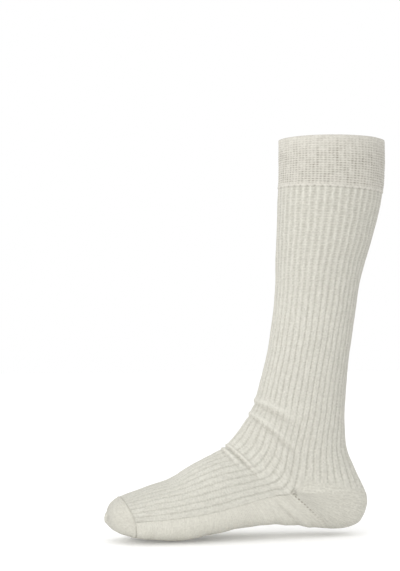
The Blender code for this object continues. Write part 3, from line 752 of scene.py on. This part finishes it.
# Painted shade in the wrinkles' furrows and the edge grooves, painted highlights on the wrinkles' ridges.
painted_shading += np.where(relief < 0, relief * -300, relief * -120)
add_half(sole_net, points, -shares * SOLE_WALES, count_courses(rows), np.zeros(rows.shape), painted_shading, 1)
sole_knit = knit_material("sole_knit", (0.670, 0.657, 0.587), (0.32, 0.300, 0.255), 0.00013,
                          0.55, (0.8, 0.16, 0.9), 0.25, 0.45, 0.50, 1.0e6)
sole = finish_panel(sole_net, "sole_panel", sole_knit, PLAIN_WALL)
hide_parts("sole")
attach(sole, "root")

# Toe
# Plain cap narrowed to the tip and linked to the instep and the sole by a seam.
# The seam stands up as a thin ridge, and puckers the sole beside it.
TIP_BULGE = 0.0016
TOE_LINES = 81
TOE_COLUMNS = 151
TOE_WALES = 78
CLOSING_LINES = 7
toe_net = new_net()
cap_rows = np.linspace(TOE_ROW + edge, TIP_ROW, TOE_LINES)
rows, shares = np.meshgrid(cap_rows, np.linspace(0, 1, TOE_COLUMNS), indexing="ij")
seam = np.exp(-((rows - TOE_ROW - 0.12) / 0.06) ** 2)
behind = np.exp(-((rows - TOE_ROW) / 0.04) ** 2)
fade = np.clip((TIP_ROW - rows) / 0.8, 0, 1)
relief = 0.0006 * seam - 0.0004 * behind
halves = [plain_panel(over_front, rows, shares, relief, 41, fade),
          plain_panel(over_back, rows + HEEL_ROWS, shares, relief, 41, fade)]
for side in (0, -1):
    halves[1][:, side] = halves[0][:, side]
tip_middle = (halves[0][-1].mean(axis=0) + halves[1][-1].mean(axis=0)) / 2
for half, facing in zip(halves, (1, -1)):
    rim = half[-1]
    closing = []
    for turned in np.linspace(0, pi / 2, CLOSING_LINES + 1)[1:]:
        ring = tip_middle + (rim - tip_middle) * max(np.cos(turned), 0)
        closing.append(ring + np.array((-TIP_BULGE, 0, 0)) * np.sin(turned))
    whole = np.concatenate((half, np.array(closing)))
    seen = np.append(rows[:, 0], np.linspace(TIP_ROW, TIP_ROW + 0.3, CLOSING_LINES + 1)[1:])
    counted = np.meshgrid(count_courses(seen), shares[0], indexing="ij")[0]
    wales = np.meshgrid(seen, facing * shares[0] * TOE_WALES, indexing="ij")[1]
    shade = np.meshgrid(np.append(behind[:, 0], np.zeros(CLOSING_LINES)), shares[0], indexing="ij")[0]
    # Painted shade in the groove behind the seam.
    add_half(toe_net, whole, wales, counted, np.zeros(shade.shape), 0.22 * shade, -facing)
toe_knit = knit_material("toe_knit", (0.610, 0.597, 0.531), (0.32, 0.300, 0.255), 0.00013,
                         0.70, (0.7, 0.3, 0.5), 0.25, 0.25, 0.50, 1.0e6)
toe = finish_panel(toe_net, "toe_cap", toe_knit, PLAIN_WALL)
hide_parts("toe")
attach(toe, "root")

# Setting
# A plain pale floor, soft studio light from the front left, and the camera that looks up
# the foot from the inner side.
FLOOR_SIZE = 12.0
floor_net = bmesh.new()
bmesh.ops.create_grid(floor_net, x_segments=1, y_segments=1, size=FLOOR_SIZE / 2)
bmesh.ops.translate(floor_net, verts=floor_net.verts, vec=(0, 0, cad_box[0].z - 0.0005))
floor_data = bpy.data.meshes.new("floor")
floor_net.to_mesh(floor_data)
floor_net.free()
floor_paint = bpy.data.materials.new("pale_floor")
floor_paint.use_nodes = True
floor_paint.node_tree.nodes["Principled BSDF"].inputs["Base Color"].default_value = (0.93, 0.93, 0.93, 1)
floor_paint.node_tree.nodes["Principled BSDF"].inputs["Roughness"].default_value = 0.9
floor_paint.node_tree.nodes["Principled BSDF"].inputs["Emission Color"].default_value = (1, 1, 1, 1)
floor_paint.node_tree.nodes["Principled BSDF"].inputs["Emission Strength"].default_value = 0.12
floor_data.materials.append(floor_paint)
floor = bpy.data.objects.new("floor", floor_data)
bpy.context.scene.collection.objects.link(floor)


def add_lamp(name, place, width, watts):
    """A square soft light that faces the sock."""
    light = bpy.data.lights.new(name, "AREA")
    light.size = width
    light.energy = watts
    lamp = bpy.data.objects.new(name, light)
    bpy.context.scene.collection.objects.link(lamp)
    lamp.location = place
    aim = bpy.data.objects.new(name + "_aim", None)
    bpy.context.scene.collection.objects.link(aim)
    aim.location = (-0.06, 0, -0.2)
    follow = lamp.constraints.new("TRACK_TO")
    follow.target = aim
    follow.track_axis = "TRACK_NEGATIVE_Z"
    follow.up_axis = "UP_Y"


add_lamp("key", (-1.9, -1.7, 0.2), 1.4, 26.0)
add_lamp("top", (-0.9, -0.2, 1.9), 1.8, 5.0)
world = bpy.data.worlds.new("studio")
world.use_nodes = True
world.node_tree.nodes["Background"].inputs["Color"].default_value = (1, 1, 1, 1)
world.node_tree.nodes["Background"].inputs["Strength"].default_value = 1.0
bpy.context.scene.world = world
bpy.context.scene.view_settings.view_transform = "Standard"

CAMERA_PLACE = (-0.44463, -1.36192, -0.19477)
CAMERA_YAW = 12.813
CAMERA_PITCH = 2.001
FOCAL_PIXELS = 1429.3
PHOTO_HEIGHT = 571
view = bpy.data.cameras.new("view")
view.sensor_fit = "VERTICAL"
view.sensor_height = 36.0
view.lens = FOCAL_PIXELS * view.sensor_height / PHOTO_HEIGHT
camera = bpy.data.objects.new("view", view)
bpy.context.scene.collection.objects.link(camera)
camera.location = CAMERA_PLACE
camera.rotation_euler = (radians(90 + CAMERA_PITCH), 0, -radians(CAMERA_YAW))
bpy.context.scene.camera = camera
